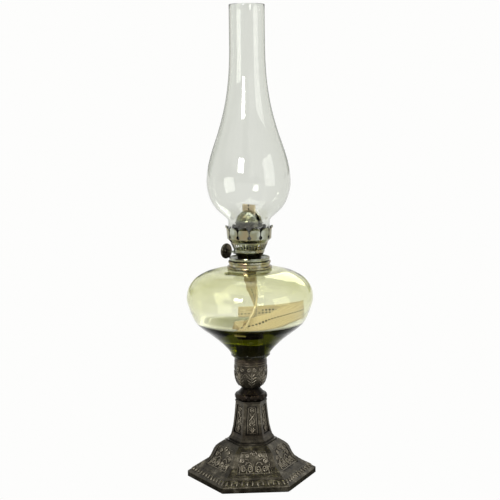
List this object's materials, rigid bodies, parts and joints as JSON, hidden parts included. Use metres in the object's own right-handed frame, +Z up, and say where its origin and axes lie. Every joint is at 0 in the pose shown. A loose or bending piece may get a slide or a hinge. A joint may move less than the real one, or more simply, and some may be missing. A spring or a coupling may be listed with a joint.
{
  "type": "oil lamp",
  "caption": "Table oil lamp: hexagonal cast pedestal, olive glass font, flat wick burner with side knob and petal gallery, and a tall clear glass chimney that lifts off.",
  "frame": {"origin": "middle of the foot's underside, on the surface it stands on", "axes": "+Z up along the lamp's axis, a flat side of the foot faces -Y, corners of the foot point along -X and +X"},
  "size_m": [0.1318, 0.1274, 0.4748],
  "materials": {
    "cast_metal": "aged bronze-toned casting, satin with rubbed high spots",
    "felt": "dense wool felt",
    "steel": "plain steel fastener",
    "plaster": "set plaster",
    "font_glass": "clear olive-yellow blown glass",
    "collar_metal": "nickel-washed brass",
    "burner_metal": "polished nickel-washed brass",
    "knob_metal": "dark oxidised brass",
    "wick_cotton": "flat woven cotton with a stitched centre line",
    "chimney_glass": "thin clear blown glass"
  },
  "bodies": {
    "stand": {"foot_felt": "felt", "pedestal": "cast_metal", "knop": "cast_metal", "tie_rod": "steel", "rod_nut": "steel", "rod_washer": "steel", "cup_nut": "steel", "font_cup": "cast_metal", "cup_plaster": "plaster", "font": "font_glass", "collar": "collar_metal", "collar_plaster": "plaster"},
    "screw_base": {"burner_skirt": "burner_metal"},
    "burner": {"burner_bowl": "burner_metal", "air_basket": "burner_metal", "air_diffuser": "burner_metal", "gallery": "burner_metal", "flame_dome": "burner_metal", "wick_tube": "burner_metal", "vent_tube": "burner_metal", "shaft_housing": "burner_metal", "wick_tail": "wick_cotton"},
    "knob": {"knob": "knob_metal", "wick_shaft": "burner_metal", "spur_wheels": "burner_metal"},
    "wick": {"wick": "wick_cotton"},
    "chimney": {"chimney": "chimney_glass"}
  },
  "joints": [
    {"name": "burner_rise", "type": "slide", "parent": "stand", "child": "screw_base", "axis": [0, 0, 1], "range_m": [0, 0.00601]},
    {"name": "burner_unscrew", "type": "hinge", "parent": "screw_base", "child": "burner", "pos_m": [0, 0, 0.223], "axis": [0, 0, 1], "range_deg": [0, 1080]},
    {"name": "knob_turn", "type": "hinge", "parent": "burner", "child": "knob", "pos_m": [-0.00343, -0.00343, 0.2304], "axis": [-0.7071, 0.7071, 0], "range_deg": [-100, 168]},
    {"name": "wick_slide", "type": "slide", "parent": "burner", "child": "wick", "axis": [0, 0, 1], "range_m": [-0.01, 0.006], "deforming": ["wick_tail"]},
    {"name": "chimney_lift", "type": "slide", "parent": "burner", "child": "chimney", "axis": [0, 0, 1], "range_m": [0, 0.05]}
  ],
  "couplings": [
    {"joint": "burner_rise", "follows": "burner_unscrew", "m_per_rad": 0.00031831},
    {"joint": "wick_slide", "follows": "knob_turn", "m_per_rad": -0.0034}
  ]
}
